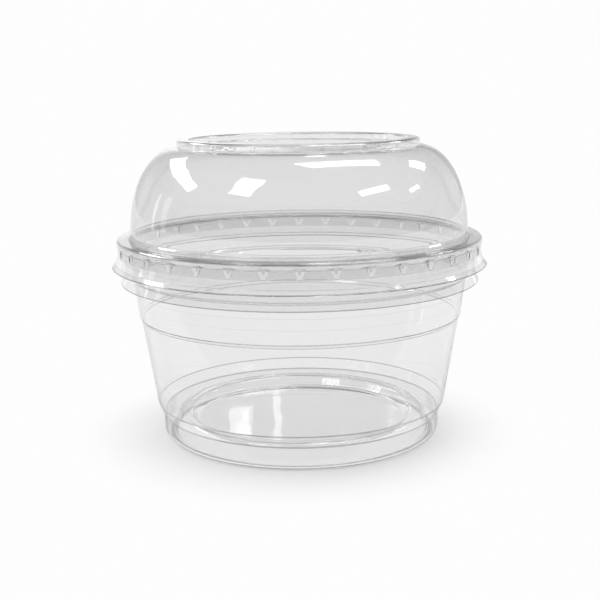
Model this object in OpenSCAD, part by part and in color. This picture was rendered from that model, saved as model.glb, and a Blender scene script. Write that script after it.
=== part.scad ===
/* [Sheet] */

// Thickness of the clear sheet that both pieces are formed from
sheet = 0.5; // [0.4:0.05:0.6]

/* [Bowl base] */

// Height of the flat centre panel's underside above the table
panel_z = 3.5; // [2.5:0.1:4.5]
// Radius of the flat centre panel
panel_r = 35; // [32:0.1:35.5]
// Radial width of the slope from the panel up to the raised ring round it
panel_slope_w = 2.2; // [1.6:0.1:3]
// Height of the raised ring's inner edge
ridge_in_z = 6.6; // [5.6:0.1:6.8]
// Height of the raised ring's outer edge
ridge_out_z = 6.9; // [6.8:0.1:8]
// Outer radius of the short wall above the foot
foot_wall_r = 46.1; // [45.6:0.1:46.6]
// Width of the foot that stands on the table, with its rounded corner
foot_w = 3.9; // [3.7:0.1:4.2]
// Radial width of the steep slope from the foot up to the raised ring
foot_slope_w = 1.2; // [0.8:0.1:1.6]
// Radius of the rounded bottom corner
foot_corner_r = 2.4; // [1.5:0.1:2.5]
// Height where the short foot wall ends and the step begins
step_low_z = 7.4; // [6:0.1:8.5]
// Height of the top of the step
step_top_z = 11.2; // [10:0.1:13]
// Outer radius of the wall at the top of the step
step_top_r = 47.9; // [47.2:0.1:49]

/* [Bowl wall] */

// Height where the tapered wall ends at the ledge
wall_top_z = 39.4; // [37:0.1:39.4]
// Outer radius of the wall at the ledge
wall_top_r = 52.5; // [51.5:0.1:52.6]
// Height of the upper edge of the ledge
ledge_z = 40.4; // [40:0.1:41.5]
// Outer radius at the upper edge of the ledge
ledge_r = 53.1; // [52.9:0.1:53.4]
// Height of the upright band's upper edge
band_top_z = 44.9; // [43.5:0.1:45.5]
// Outer radius at the band's upper edge
band_top_r = 53.6; // [53.5:0.1:53.8]
// Height of the upper edge of the small shoulder above the band
shoulder_z = 48.5; // [47:0.1:49]
// Outer radius at the upper edge of the small shoulder
shoulder_r = 54.1; // [53.9:0.1:54.2]
// Height of the small bend where the wall becomes the rim's inner wall
bend_z = 52.6; // [51:0.1:54]
// How far that bend stands in from the rim's inner wall
bend_in = 0.7; // [0.5:0.05:0.8]

/* [Bowl rim] */

// Height of the rim's flat top, where the lid rests
rim_top_z = 65.1; // [62:0.1:69]
// Outer radius of the rolled rim
rim_r = 57.6; // [57.2:0.1:58]
// Width of the rolled rim from its inner to its outer face
rim_w = 3; // [2.8:0.1:3.2]
// How far the rim's skirt is drawn in where its flare begins
neck_in = 0.5; // [0.2:0.05:0.8]
// Height where the skirt's flare begins
flare_z = 54.9; // [54:0.1:56]
// How far the trimmed lip stands out past the rolled rim
lip_out = 0.9; // [0.5:0.05:1.6]
// Height of the trimmed lip
lip_z = 51.3; // [50.5:0.1:52]

/* [Lid flange] */

// How far each snap lug stands in from the skirt's inner face
lug_depth = 0.8; // [0.5:0.05:1]
// Clearance between the lug tips and the bowl's rolled rim
lug_gap = 0.3; // [0.3:0.05:0.6]
// Number of snap lugs round the lid
lug_n = 36; // [24:4:40]
// Width of a lug at its top
lug_w = 3; // [2:0.1:3.4]
// Height of a lug, from its wide top to its point
lug_h = 2.4; // [1.6:0.1:2.4]
// How far the bead stands out from the skirt below it
bead_out = 0.35; // [0.2:0.05:0.6]
// Height of the bead's outer face
bead_h = 2.1; // [1.8:0.1:2.8]
// Height of the upright wall that carries the lugs
snap_wall_h = 2.9; // [2.8:0.1:3.4]
// Height of the sloping skirt below the lug wall
lid_skirt_h = 2.4; // [1.4:0.1:2.6]
// Radial width of the sloping skirt
lid_skirt_w = 1; // [0.6:0.1:1.4]
// Height of the kicked-out lip
lid_lip_h = 1.5; // [1:0.1:1.8]
// Radial width of the kicked-out lip
lid_lip_w = 1; // [0.5:0.1:1.4]

/* [Lid dome] */

// How far the dome stands in from the outer face of the rolled rim below it
dome_in = 2.7; // [2.4:0.1:3.2]
// Width of the small step round the dome's foot
foot_step_w = 0.7; // [0.5:0.05:0.9]
// Height of the small step round the dome's foot
foot_step_h = 1.5; // [1.2:0.1:2]
// Outer height of the dome above the flange, up to the stacking ring
dome_h = 28.9; // [20:0.1:40]
// Outer radius of the stacking ring on top
ring_r = 39.2; // [34:0.1:42]
// Width of the stacking ring's flat top
ring_w = 4; // [3.4:0.1:6]
// Height of the stacking ring above the dome
ring_h = 2.5; // [2:0.1:4]
// Depth of the flat panel below the top of the stacking ring
panel_drop = 2.5; // [2:0.1:4]

/* [Colours] */

// Colour of the bowl
bowl_colour = "#dfe3e4"; // [#dfe3e4:clear, #f4f4f0:milky, #2b2c2e:black]
// Colour of the lid
lid_colour = "#e4e8e9"; // [#e4e8e9:clear, #f4f4f0:milky]

/* [Hidden] */

// Straight runs in one rounded corner of a profile, and in the dome's curve
corner_n = 5;
dome_n = 20;
// Rounding of the small corners, measured on the face a profile is drawn on
small_r = 0.8;
soft_r = 1.6;
// Rounding of the tightest bends, which still leaves their other face rounded too
tight_r = sheet + 0.05;
// How many times wider a lug is at its top than at its point
lug_taper = 6;

// Outer radii of the lid's lug wall and bead
snap_r = rim_r + lug_gap + lug_depth + sheet;
bead_r = snap_r + bead_out;

// Outer radius of the dome where it stands on the flange
dome_r = rim_r - dome_in;

// Heights of the lid's flange, bead, lug wall, skirt and lip
flange_z = rim_top_z + sheet;
bead_z = flange_z - bead_h;
snap_z = bead_z - snap_wall_h;
lid_skirt_z = snap_z - lid_skirt_h;
lid_lip_z = lid_skirt_z - lid_lip_h;

// Height where the dome meets its stacking ring, and the ring's top
ring_foot_z = flange_z + dome_h;
ring_top_z = ring_foot_z + ring_h;

function unit(v) = v / norm(v);
function left_of(v) = [-v[1], v[0]];
function xy(p) = [p[0], p[1]];

// The arc that rounds the corner at b between a and c
function rounded(a, b, c, r) =
    let (
        u = unit(a - b),
        v = unit(c - b),
        half = acos(u * v) / 2,
        centre = b + unit(u + v) * r / sin(half),
        p = b + u * r / tan(half) - centre,
        q = b + v * r / tan(half) - centre,
        start = atan2(p[1], p[0]),
        turn = atan2(q[1], q[0]) - start,
        sweep = turn > 180 ? turn - 360 : turn < -180 ? turn + 360 : turn
    )
    [for (i = [0:corner_n]) centre + r * [cos(start + sweep * i / corner_n), sin(start + sweep * i / corner_n)]];

// A line of [radius, height, rounding] points with its corners rounded
function smooth(pts) = [
    xy(pts[0]),
    for (i = [1:len(pts) - 2])
        each pts[i][2] > 0
            ? rounded(xy(pts[i - 1]), xy(pts[i]), xy(pts[i + 1]), pts[i][2])
            : [xy(pts[i])],
    xy(pts[len(pts) - 1])
];

// A point of the line moved sideways by t, square to the runs that meet there
function beside(line, i, t) =
    let (
        last = len(line) - 1,
        before = left_of(unit(line[max(i, 1)] - line[max(i, 1) - 1])),
        after = left_of(unit(line[min(i, last - 1) + 1] - line[min(i, last - 1)])),
        mean = unit(before + after)
    )
    line[i] + mean * t / (mean * after);

// One formed sheet: a profile line, given the thickness t on its left, spun round the axis
module formed(line, t) {
    far_side = [for (i = [0:len(line) - 1]) beside(line, len(line) - 1 - i, t)];
    rotate_extrude($fn = 180) polygon(concat(line, far_side));
}

// The bowl: panel, foot, stepped wall, rolled rim and flared skirt in one sheet
module bowl() {
    foot_in_r = foot_wall_r - foot_w;
    rim_in_r = rim_r - rim_w + sheet;
    line = smooth([
        [0, panel_z, 0],
        [panel_r, panel_z, small_r],
        [panel_r + panel_slope_w, ridge_in_z, small_r],
        [foot_in_r - foot_slope_w, ridge_out_z, small_r],
        [foot_in_r, 0, small_r * 3 / 4],
        [foot_wall_r - 0.2, 0, foot_corner_r],
        [foot_wall_r, step_low_z, small_r],
        [step_top_r, step_top_z, small_r],
        [wall_top_r, wall_top_z, small_r],
        [ledge_r, ledge_z, small_r],
        [band_top_r, band_top_z, soft_r],
        [shoulder_r, shoulder_z, soft_r],
        [rim_in_r - bend_in, bend_z, small_r],
        [rim_in_r, bend_z + bend_in, small_r],
        [rim_in_r, rim_top_z - sheet, small_r],
        [rim_r - sheet, rim_top_z - sheet, small_r / 2],
        [rim_r - neck_in - sheet, flare_z, soft_r],
        [rim_r + lip_out - 0.9 * sheet, lip_z, 0]
    ]);
    color(bowl_colour) formed(line, sheet);
}

// One snap lug: a flat-faced wedge that widens upwards, on the inner face of the lug wall
module lug() {
    root_r = snap_r - sheet / 2;
    depth = root_r - rim_r - lug_gap;
    translate([root_r, 0, bead_z - bead_out - lug_h])
        linear_extrude(height = lug_h, scale = lug_taper)
            polygon([[0, -lug_w / 2], [-depth, -lug_w / 5], [-depth, lug_w / 5], [0, lug_w / 2]] / lug_taper);
}

// The ring of lugs, one of them straight in front
module lugs() {
    for (i = [0:lug_n - 1]) rotate([0, 0, i * 360 / lug_n - 90]) lug();
}

// The lid: sunk panel, stacking ring, dome, flange, bead and flared lip in one sheet
module dome_lid() {
    dome_foot_z = flange_z + foot_step_h + small_r;
    dome_edge = [for (i = [1:dome_n]) [
        ring_r + (dome_r - ring_r) * sin(90 * i / dome_n),
        dome_foot_z + (ring_foot_z - dome_foot_z) * cos(90 * i / dome_n),
        0
    ]];
    line = smooth(concat(
        [
            [0, ring_top_z - panel_drop, 0],
            [ring_r - ring_w - 0.4, ring_top_z - panel_drop, small_r],
            [ring_r - ring_w, ring_top_z, small_r],
            [ring_r, ring_top_z, small_r],
            [ring_r, ring_foot_z, small_r / 4]
        ],
        dome_edge,
        [
            [dome_r, flange_z + foot_step_h, small_r / 2],
            [dome_r + foot_step_w, flange_z + foot_step_h - foot_step_w, tight_r],
            [dome_r + foot_step_w, flange_z, small_r / 2],
            [bead_r, flange_z, small_r],
            [bead_r, bead_z, tight_r],
            [snap_r, bead_z - bead_out, small_r / 8],
            [snap_r, snap_z, small_r],
            [snap_r + lid_skirt_w, lid_skirt_z, small_r],
            [snap_r + lid_skirt_w + lid_lip_w, lid_lip_z, 0]
        ]
    ));
    color(lid_colour) {
        formed(line, -sheet);
        lugs();
    }
}

bowl();
dome_lid();
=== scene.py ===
import bpy
import bmesh
import math
from mathutils import Matrix, Vector


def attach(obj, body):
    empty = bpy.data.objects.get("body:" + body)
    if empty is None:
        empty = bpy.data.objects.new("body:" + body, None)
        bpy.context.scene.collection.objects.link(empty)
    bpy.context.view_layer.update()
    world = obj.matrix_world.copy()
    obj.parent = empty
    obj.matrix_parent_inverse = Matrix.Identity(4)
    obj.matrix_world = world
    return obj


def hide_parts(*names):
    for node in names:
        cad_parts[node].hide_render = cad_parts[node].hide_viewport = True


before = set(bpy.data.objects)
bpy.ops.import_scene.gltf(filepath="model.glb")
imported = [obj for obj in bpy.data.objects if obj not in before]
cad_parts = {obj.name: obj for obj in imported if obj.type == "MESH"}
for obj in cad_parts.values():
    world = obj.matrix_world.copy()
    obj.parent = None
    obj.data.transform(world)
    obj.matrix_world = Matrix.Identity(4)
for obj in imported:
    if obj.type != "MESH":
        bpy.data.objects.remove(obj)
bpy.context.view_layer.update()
scene = bpy.context.scene
mm = 0.001


# the photograph's camera
cameraLook = {
    "distance": 0.358,   # from the bowl's axis, metres
    "height": 0.1157,    # above the table
    "pitchDown": 11.44,  # degrees
    "roll": -0.7,        # degrees
    "lens": 65.7,        # millimetres, on a 36 mm sensor
}


def makeCamera():
    data = bpy.data.cameras.new("photoCamera")
    data.sensor_width = 36
    data.lens = cameraLook["lens"]
    data.clip_start = 0.01
    camera = bpy.data.objects.new("photoCamera", data)
    scene.collection.objects.link(camera)
    turn = (Matrix.Rotation(math.radians(90 - cameraLook["pitchDown"]), 4, "X")
            @ Matrix.Rotation(math.radians(cameraLook["roll"]), 4, "Z"))
    place = Matrix.Translation((0, -cameraLook["distance"], cameraLook["height"]))
    camera.matrix_world = place @ turn
    scene.camera = camera


makeCamera()
print("camera ready")


# materials
def ramp(tree, source, low, high, atLow, atHigh):
    node = tree.nodes.new("ShaderNodeMapRange")
    node.interpolation_type = "SMOOTHSTEP"
    node.inputs["From Min"].default_value = low
    node.inputs["From Max"].default_value = high
    node.inputs["To Min"].default_value = atLow
    node.inputs["To Max"].default_value = atHigh
    tree.links.new(source, node.inputs["Value"])
    return node.outputs["Result"]


def between(tree, part, first, second):
    # first where part is 0, second where it is 1: sockets 0, 2 and 3 are the node's plain numbers
    node = tree.nodes.new("ShaderNodeMix")
    for socket, value in ((0, part), (2, first), (3, second)):
        if isinstance(value, float):
            node.inputs[socket].default_value = value
        else:
            tree.links.new(value, node.inputs[socket])
    return node.outputs[0]


def clearSheet(name, look):
    # clear formed plastic that refracts, with the faint waves and haze of a drawn sheet
    # each face's colour comes from the mesh: the sheet's own tint, with painted shade in bends, at the lip
    # and at the foot, and some parts painted lighter
    material = bpy.data.materials.new(name)
    material.use_nodes = True
    tree = material.node_tree
    shader = tree.nodes["Principled BSDF"]
    # painted shade and light per face, read from the mesh
    clear = tree.nodes.new("ShaderNodeAttribute")
    clear.attribute_name = "tintAndPaintedShading"
    slant = tree.nodes.new("ShaderNodeLayerWeight")
    slant.inputs["Blend"].default_value = 0.5
    shader.inputs["IOR"].default_value = look["ior"]
    shader.inputs["Transmission Weight"].default_value = 1
    place = tree.nodes.new("ShaderNodeTexCoord")
    stretch = tree.nodes.new("ShaderNodeMapping")
    stretch.inputs["Scale"].default_value = (1, 1, look["waveStretch"])
    wave = tree.nodes.new("ShaderNodeTexNoise")
    wave.inputs["Scale"].default_value = look["waveScale"]
    wave.inputs["Detail"].default_value = 1.5
    bump = tree.nodes.new("ShaderNodeBump")
    bump.inputs["Strength"].default_value = look["waveStrength"]
    bump.inputs["Distance"].default_value = look["waveHeight"]
    haze = tree.nodes.new("ShaderNodeTexNoise")
    haze.inputs["Scale"].default_value = look["hazeScale"]
    haze.inputs["Detail"].default_value = 3
    span = tree.nodes.new("ShaderNodeMapRange")
    span.inputs["To Min"].default_value = look["roughness"][0]
    span.inputs["To Max"].default_value = look["roughness"][1]
    link = tree.links.new
    # painted shade: upright walls are painted darker where they are seen edge-on, as dark outlines
    split = tree.nodes.new("ShaderNodeSeparateXYZ")
    level = tree.nodes.new("ShaderNodeMath")
    level.operation = "ABSOLUTE"
    link(place.outputs["Normal"], split.inputs[0])
    link(split.outputs["Z"], level.inputs[0])
    upright = ramp(tree, level.outputs[0], *look["upright"], 1, 0)
    edge = ramp(tree, slant.outputs["Facing"], look["edgeFrom"], 1, 1, look["edge"])
    left = tree.nodes.new("ShaderNodeMath")
    left.operation = "MULTIPLY"
    link(between(tree, upright, 1.0, edge), left.inputs[0])
    link(clear.outputs["Fac"], left.inputs[1])
    link(left.outputs[0], shader.inputs["Base Color"])
    link(place.outputs["Object"], stretch.inputs["Vector"])
    link(stretch.outputs["Vector"], wave.inputs["Vector"])
    link(wave.outputs["Fac"], bump.inputs["Height"])
    link(bump.outputs["Normal"], shader.inputs["Normal"])
    link(place.outputs["Object"], haze.inputs["Vector"])
    link(haze.outputs["Fac"], span.inputs["Value"])
    link(span.outputs["Result"], shader.inputs["Roughness"])
    return material


bowlFinish = clearSheet("clearBowlSheet", {
    "ior": 1.57,
    "roughness": (0.0, 0.03),
    "edge": 0.35,             # painted shade: how much of its colour an upright wall keeps where it is seen edge-on
    "edgeFrom": 0.76,         # from 0 face-on to 1 edge-on, where that starts
    "upright": (0.35, 0.75),  # below the first a face counts as upright, past the second as level
    "waveScale": 45,
    "waveStretch": 0.5,
    "waveStrength": 0.5,
    "waveHeight": 0.00012,    # metres
    "hazeScale": 90,
})
lidFinish = clearSheet("clearLidSheet", {
    "ior": 1.57,
    "roughness": (0.0, 0.03),
    # painted shade on upright walls seen edge-on, as for the bowl
    "edge": 0.35,
    "edgeFrom": 0.74,
    "upright": (0.75, 0.97),
    "waveScale": 40,
    "waveStretch": 0.3,
    "waveStrength": 0.5,
    "waveHeight": 0.00015,
    "hazeScale": 90,
})


# formed shells
def roundedWire(bm, corners, segments=4):
    # one profile line of (radius, height, rounding) in millimetres, each corner bevelled by its own rounding
    points = [bm.verts.new((r * mm, 0, z * mm)) for r, z, rounding in corners]
    for a, b in zip(points, points[1:]):
        bm.edges.new((a, b))
    reaches = [0] * len(points)
    for i, (r, z, rounding) in enumerate(corners):
        if rounding:
            turn = (points[i].co - points[i - 1].co).angle(points[i + 1].co - points[i].co)
            reaches[i] = rounding * mm * math.tan(turn / 2)
    for point, reach in zip(points, reaches):
        if reach:
            bmesh.ops.bevel(bm, geom=[point], offset=reach, offset_type="OFFSET", segments=segments,
                            profile=0.5, affect="VERTICES", material=-1)
    return bm.verts[:], bm.edges[:]


def spinPart(bm, verts, edges, degrees, steps):
    made = bmesh.ops.spin(bm, geom=verts + edges, cent=(0, 0, 0), axis=(0, 0, 1), angle=math.radians(degrees),
                          steps=steps, use_merge=degrees == 360, use_duplicate=False)
    last = made["geom_last"]
    return ([v for v in last if isinstance(v, bmesh.types.BMVert)],
            [e for e in last if isinstance(e, bmesh.types.BMEdge)])


bendReach = 0.33  # millimetres: a face that is shorter than this along the profile is part of a bend


def finishShell(bm, name, thickness, body, node, material, tintAndPaintedShadingOf):
    bmesh.ops.remove_doubles(bm, verts=bm.verts, dist=0.00001)
    bmesh.ops.recalc_face_normals(bm, faces=bm.faces)
    # painted shade and light: each face gets a colour from where it lies and whether it is in a bend
    tintAndPaintedShading = bm.faces.layers.float.new("tintAndPaintedShading")
    for face in bm.faces:
        face.smooth = True
        radii = [math.hypot(v.co.x, v.co.y) / mm for v in face.verts]
        heights = [v.co.z / mm for v in face.verts]
        bend = math.hypot(max(radii) - min(radii), max(heights) - min(heights)) < bendReach
        face[tintAndPaintedShading] = tintAndPaintedShadingOf(max(radii), max(heights), bend)
    for edge in bm.edges:
        edge.smooth = not edge.is_boundary
    mesh = bpy.data.meshes.new(name)
    bm.to_mesh(mesh)
    bm.free()
    shell = bpy.data.objects.new(name, mesh)
    scene.collection.objects.link(shell)
    mesh.materials.append(material)
    wall = shell.modifiers.new("sheetWall", "SOLIDIFY")
    wall.thickness = thickness * mm
    wall.offset = -1
    wall.use_even_offset = True
    evenShade = shell.modifiers.new("evenShade", "WEIGHTED_NORMAL")
    evenShade.keep_sharp = True
    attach(shell, body)
    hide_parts(node)
    print(name, "made,", len(mesh.polygons), "faces")


bowlShape = {
    "sheet": 0.5,
    "steps": 216,
    "wall": 0.93,      # the sheet's own tint; the lines below are painted shading, darker or lighter than it
    # painted shade: dark lines in the bends of the rim above lipTop
    "bend": 0.70,
    # painted lighter: the ring round the centre panel and its bends
    "baseBend": 0.95,
    "slope": 1.0,      # the ring round the centre panel
    # painted shadow where the foot meets the table, and painted shade on the foot's wall above it
    "foot": 0.5,
    "footWall": 0.82,
    # painted shade: dark lines in the wall's bends below lipTop and at the cut lip
    "lip": 0.5,
    "footTop": 0.5,    # millimetres: where those parts of the sheet start and end
    "footFrom": 43,
    "footWallTop": 7.3,
    "footWallFrom": 45.8,
    "panelTo": 35,
    "slopeTo": 43.5,
    "lipTop": 51.6,
    "corners": [       # radius, height, rounding: the table side of the sheet, from the centre out to the lip
        (0, 3.5, 0),
        (35.0, 3.5, 1.4),
        (37.2, 6.6, 1.2),
        (41.0, 6.9, 1.2),
        (42.2, 0, 0.7),
        (45.9, 0, 2.4),
        (46.1, 7.4, 1.2),
        (47.9, 11.2, 1.6),
        (52.5, 39.4, 0.4),
        (53.1, 40.4, 0.8),
        (53.6, 44.9, 0.8),
        (54.1, 48.5, 0.8),
        (54.4, 52.6, 0.4),
        (55.1, 53.3, 0.8),
        (55.1, 64.6, 0.4),
        (57.1, 64.6, 0.4),
        (56.6, 54.9, 6),
        (57.94, 51.58, 0),
        (58.05, 51.3, 0),
    ],
}


# painted shading of each bowl face: darker in bends and round the foot, lighter on the base ring
def bowlTintAndPaintedShading(r, z, bend):
    look = bowlShape
    if z < look["footTop"] and r > look["footFrom"]:
        return look["foot"]
    if z < look["footWallTop"] and r > look["footWallFrom"]:
        return look["footWall"]
    if r < look["panelTo"]:
        return look["wall"]
    if r < look["slopeTo"]:
        return look["baseBend"] if bend else look["slope"]
    if bend and z < look["lipTop"]:
        return look["lip"]
    return look["bend"] if bend else look["wall"]


def makeBowl():
    bm = bmesh.new()
    verts, edges = roundedWire(bm, bowlShape["corners"])
    spinPart(bm, verts, edges, 360, bowlShape["steps"])
    finishShell(bm, "clearBowl", -bowlShape["sheet"], "bowl", "bowl", bowlFinish, bowlTintAndPaintedShading)


lidShape = {
    "sheet": 0.5,
    "lugs": 36,
    "lugWidth": 3.0,
    "lugDepth": 0.8,
    "lugMargin": 1.06,     # how much wider than a lug its own strip of faces is
    "lugWallRadius": 59.2,
    "lugWallFrom": 58,
    "lugWallTo": 59.4,
    "lugWallRows": (60.3, 63.2),
    "lugTop": 63.1,
    "lugHeight": 2.5,
    "lugStart": 0.3,       # how far above its top a lug starts to swell
    "lugNarrowing": 0.75,  # how much narrower it is at its point, as a share
    "lugRoundness": 0.6,   # lower is rounder across
    "lugFade": 0.5,        # lower is fuller towards the point
    "domeBase": 67.9,
    "domeTop": 94.5,
    "domeRadius": 54.9,
    "ringRadius": 39.2,
    "domePoints": 26,
    "wall": 0.885,         # the sheet's own tint; the lines below are painted shading, darker or lighter than it
    # painted shade: dark lines in the bends
    "bend": 0.76,
    # painted lighter on the top panel, a little darker in its bends
    "top": 0.965,
    "topBend": 0.88,
    # painted lighter on the skirt
    "skirt": 0.965,
    # painted shade: a dark line in the bends at the lip
    "lip": 0.5,
    "topFrom": 94.4,       # millimetres: where those parts of the sheet start and end
    "topTo": 39.5,
    "skirtTop": 63.6,
    "lipTop": 57,
}


def lidCorners():
    look = lidShape
    dome = []
    for i in range(1, look["domePoints"] + 1):
        turn = math.radians(90 * i / look["domePoints"])
        dome.append((look["ringRadius"] + (look["domeRadius"] - look["ringRadius"]) * math.sin(turn),
                     look["domeBase"] + (look["domeTop"] - look["domeBase"]) * math.cos(turn), 0))
    # outer side of the sheet, from the centre of the sunk panel out to the lip
    return [
        (0, 94.5, 0),
        (34.8, 94.5, 0.4),
        (35.2, 97.0, 0.8),
        (39.2, 97.0, 0.8),
        (39.2, 94.5, 0.2),
    ] + dome + [
        (54.9, 67.1, 0.3),
        (55.6, 66.4, 0.75),
        (55.6, 65.6, 0.2),
        (59.55, 65.6, 0.8),
        (59.55, 63.5, 0.75),
        (59.2, 63.15, 0.2),
        (59.2, 61.9, 0),
        (59.2, 60.6, 0.4),
        (60.0, 57.96, 0.4),
        (61.0, 56.96, 0),
        (61.2, 56.7, 0),
    ]


def dentLug(bm):
    # presses one teardrop lug into the lug wall, on the X axis
    look = lidShape
    for v in bm.verts:
        z = v.co.z / mm
        r = math.hypot(v.co.x, v.co.y) / mm
        down = (look["lugTop"] + look["lugStart"] - z) / look["lugHeight"]
        if r < look["lugWallFrom"] or not 0 <= down <= 1:
            continue
        side = abs(math.atan2(v.co.y, v.co.x)) * r / (look["lugWidth"] / 2)
        reach = 1 - look["lugNarrowing"] * down
        if side < reach:
            across = math.cos(side / reach * math.pi / 2) ** look["lugRoundness"]
            push = look["lugDepth"] * across * (1 - down) ** look["lugFade"]
            v.co.x *= (r - push) / r
            v.co.y *= (r - push) / r


# painted shading of each lid face: darker in bends and at the lip, lighter on the top panel and skirt
def lidTintAndPaintedShading(r, z, bend):
    look = lidShape
    if z > look["topFrom"] and r < look["topTo"]:
        return look["topBend"] if bend else look["top"]
    if bend and z < look["lipTop"]:
        return look["lip"]
    if z < look["skirtTop"] and not bend:
        return look["skirt"]
    return look["bend"] if bend else look["wall"]


def makeLid():
    bm = bmesh.new()
    verts, edges = roundedWire(bm, lidCorners())
    # rows across the lug wall, so that the lugs can be pressed in
    low, high = lidShape["lugWallRows"]
    rows = [e for e in bm.edges if all(lidShape["lugWallFrom"] < v.co.x / mm < lidShape["lugWallTo"]
                                       and low < v.co.z / mm < high for v in e.verts)]
    bmesh.ops.subdivide_edges(bm, edges=rows, cuts=3)
    verts, edges = bm.verts[:], bm.edges[:]
    pitch = 360 / lidShape["lugs"]
    lugTurn = math.degrees(lidShape["lugWidth"] / lidShape["lugWallRadius"]) * lidShape["lugMargin"]
    bmesh.ops.rotate(bm, verts=verts, matrix=Matrix.Rotation(math.radians(-pitch / 2), 3, "Z"))
    verts, edges = spinPart(bm, verts, edges, (pitch - lugTurn) / 2, 2)
    verts, edges = spinPart(bm, verts, edges, lugTurn, 8)
    spinPart(bm, verts, edges, (pitch - lugTurn) / 2, 2)
    dentLug(bm)
    sector = bm.verts[:] + bm.edges[:] + bm.faces[:]
    for i in range(1, lidShape["lugs"]):
        copy = bmesh.ops.duplicate(bm, geom=sector)["geom"]
        bmesh.ops.rotate(bm, verts=[v for v in copy if isinstance(v, bmesh.types.BMVert)],
                         matrix=Matrix.Rotation(math.radians(pitch * i), 3, "Z"))
    finishShell(bm, "clearDomeLid", lidShape["sheet"], "lid", "dome_lid", lidFinish, lidTintAndPaintedShading)


makeBowl()
makeLid()


# floor, light and background
studio = {
    "floorRadius": 4.0,
    "floorDrop": 0.0003,     # metres the floor lies under the foot
    "floorColour": (0.93, 0.93, 0.93),
    "whiteFrom": 0.010,      # metres from the axis where the floor starts to fade to the backdrop's white
    "whiteTo": 0.078,
    "mirrorFrom": 0.055,     # the same fade in what the sheet mirrors
    "mirrorTo": 0.30,
    "throughSheet": 0.95,    # how much of that white the floor right under the bowl shows through the sheet
    "backdrop": 0.985,       # 1 is white
    "lowSky": 4,             # degrees above the horizon between which the walls give way to the room above
    "highSky": 24,
    "roomAbove": 0.42,       # level of that room
    "roomSides": 0.45,       # level beside the backdrop, as seen through the sheet
    "backdropEdge": (0.1, 0.8),  # how straight ahead the backdrop starts and is full
    "roomFront": 0.06,       # levels of the room's walls, as the sheet mirrors them
    "roomBackFar": 0.6,
    "roomBackLeft": 1.15,
    "roomBackRight": 0.6,
    "roomFrontEdge": (-0.3, 0.6),  # where one wall gives way to the next, by direction
    "roomFarEdge": (-0.45, -0.12),
    "roomMiddleEdge": (-0.06, 0.06),
}


def makeFloor():
    bm = bmesh.new()
    bmesh.ops.create_circle(bm, cap_ends=True, radius=studio["floorRadius"], segments=96)
    bmesh.ops.translate(bm, verts=bm.verts, vec=(0, 0, -studio["floorDrop"]))
    mesh = bpy.data.meshes.new("studioFloor")
    bm.to_mesh(mesh)
    bm.free()
    floor = bpy.data.objects.new("studioFloor", mesh)
    scene.collection.objects.link(floor)
    material = bpy.data.materials.new("paleFloor")
    material.use_nodes = True
    tree = material.node_tree
    shader = tree.nodes["Principled BSDF"]
    shader.inputs["Base Color"].default_value = (*studio["floorColour"], 1)
    shader.inputs["Roughness"].default_value = 0.9
    shader.inputs["Specular IOR Level"].default_value = 0
    white = tree.nodes.new("ShaderNodeEmission")
    white.inputs["Color"].default_value = (1, 1, 1, 1)
    white.inputs["Strength"].default_value = studio["backdrop"]
    place = tree.nodes.new("ShaderNodeTexCoord")
    reach = tree.nodes.new("ShaderNodeVectorMath")
    reach.operation = "LENGTH"
    path = tree.nodes.new("ShaderNodeLightPath")
    mix = tree.nodes.new("ShaderNodeMixShader")
    link = tree.links.new
    link(place.outputs["Object"], reach.inputs[0])
    away = reach.outputs["Value"]
    seen = ramp(tree, away, studio["whiteFrom"], studio["whiteTo"], 0, 1)
    through = ramp(tree, away, studio["whiteFrom"], studio["whiteTo"], studio["throughSheet"], 1)
    mirrored = ramp(tree, away, studio["mirrorFrom"], studio["mirrorTo"], 0, 1)
    plain = between(tree, path.outputs["Is Glossy Ray"], 0.0, mirrored)
    plain = between(tree, path.outputs["Is Camera Ray"], plain, seen)
    link(between(tree, path.outputs["Is Transmission Ray"], plain, through), mix.inputs["Fac"])
    link(shader.outputs[0], mix.inputs[1])
    link(white.outputs[0], mix.inputs[2])
    link(mix.outputs[0], tree.nodes["Material Output"].inputs["Surface"])
    mesh.materials.append(material)


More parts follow.
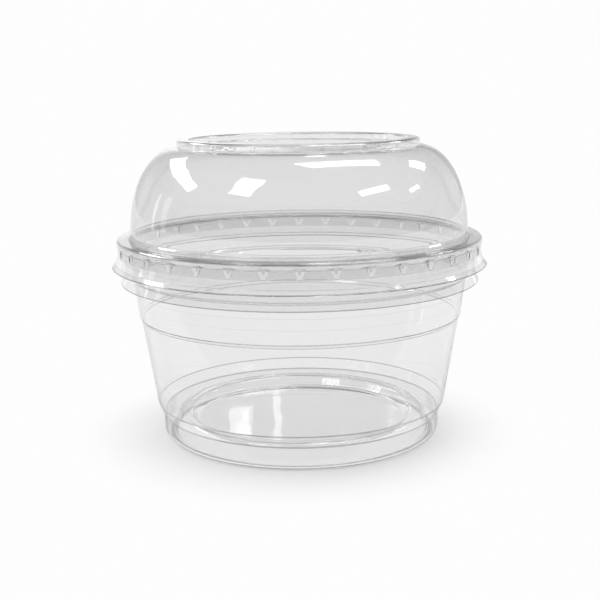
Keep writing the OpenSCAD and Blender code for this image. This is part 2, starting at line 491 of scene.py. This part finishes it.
def makeWorld():
    # the camera sees white all round; the sheet shows white low down and mirrors a greyer room
    world = bpy.data.worlds.new("studioRoom")
    scene.world = world
    world.use_nodes = True
    tree = world.node_tree
    sky = tree.nodes["Background"]
    sky.inputs["Color"].default_value = (1, 1, 1, 1)
    place = tree.nodes.new("ShaderNodeTexCoord")
    split = tree.nodes.new("ShaderNodeSeparateXYZ")
    path = tree.nodes.new("ShaderNodeLightPath")
    link = tree.links.new
    link(place.outputs["Generated"], split.inputs[0])
    x, y, z = (split.outputs[axis] for axis in "XYZ")
    low, high = (math.sin(math.radians(studio[edge])) for edge in ("lowSky", "highSky"))
    up = ramp(tree, z, low, high, 0, 1)
    left = ramp(tree, x, *studio["roomFarEdge"], studio["roomBackFar"], studio["roomBackLeft"])
    back = between(tree, ramp(tree, x, *studio["roomMiddleEdge"], 0, 1), left, studio["roomBackRight"])
    walls = between(tree, ramp(tree, y, *studio["roomFrontEdge"], 0, 1), studio["roomFront"], back)
    mirrored = between(tree, up, walls, studio["roomAbove"])
    ahead = ramp(tree, y, *studio["backdropEdge"], 0, 1)
    behind = between(tree, ahead, studio["roomSides"], studio["backdrop"])
    through = between(tree, up, behind, studio["roomAbove"])
    unlit = between(tree, path.outputs["Is Transmission Ray"], mirrored, through)
    link(between(tree, path.outputs["Is Camera Ray"], unlit, studio["backdrop"]), sky.inputs["Strength"])


lamps = [  # name, degrees round from straight behind, degrees up, width, height, glow
    ("overheadSoftbox", 57.6, 73, 0.38, 0.76, 4.6),
    ("leftFrontSoftbox", -134, 49, 0.36, 0.53, 4),
    ("rightFrontStrip", 120, 38.7, 0.52, 0.142, 6.5),
    ("rightBackSoftbox", 53.5, 38, 0.29, 0.24, 6.5),
    ("rightStrip", 87.8, 28.6, 0.276, 0.075, 6),
    ("leftBackSoftbox", -62, 37.5, 1.40, 0.22, 5),
    ("backStripWide", -4.5, 20, 0.034, 0.14, 0.8),
    ("backStripSlim", -1.7, 19, 0.012, 0.20, 0.9),
    ("backHighStrip", 4.5, 46, 0.08, 0.30, 3),
    ("leftTallStrip", -68, 9, 0.06, 0.50, 1),
    ("leftTallStripWide", -80, 11, 0.12, 0.50, 0.7),
    ("rightTallStrip", 34, 2, 0.04, 0.40, 0.5),
]
lampDistance = 1.4  # metres


def makeLamps():
    for name, degreesRound, degreesUp, width, height, glow in lamps:
        data = bpy.data.lights.new(name, "AREA")
        data.shape = "RECTANGLE"
        data.size = width
        data.size_y = height
        data.energy = glow * math.pi * width * height
        lamp = bpy.data.objects.new(name, data)
        scene.collection.objects.link(lamp)
        a = math.radians(degreesRound)
        e = math.radians(degreesUp)
        place = Vector((math.sin(a) * math.cos(e), math.cos(a) * math.cos(e), math.sin(e))) * lampDistance
        turn = (-place).to_track_quat("-Z", "Y").to_matrix().to_4x4()
        lamp.matrix_world = Matrix.Translation(place) @ turn


makeFloor()
makeWorld()
makeLamps()
print("studio ready")

scene.view_settings.view_transform = "Standard"
# light crosses many walls of sheet on its way
scene.cycles.max_bounces = 48
scene.cycles.transmission_bounces = 48
scene.cycles.glossy_bounces = 24
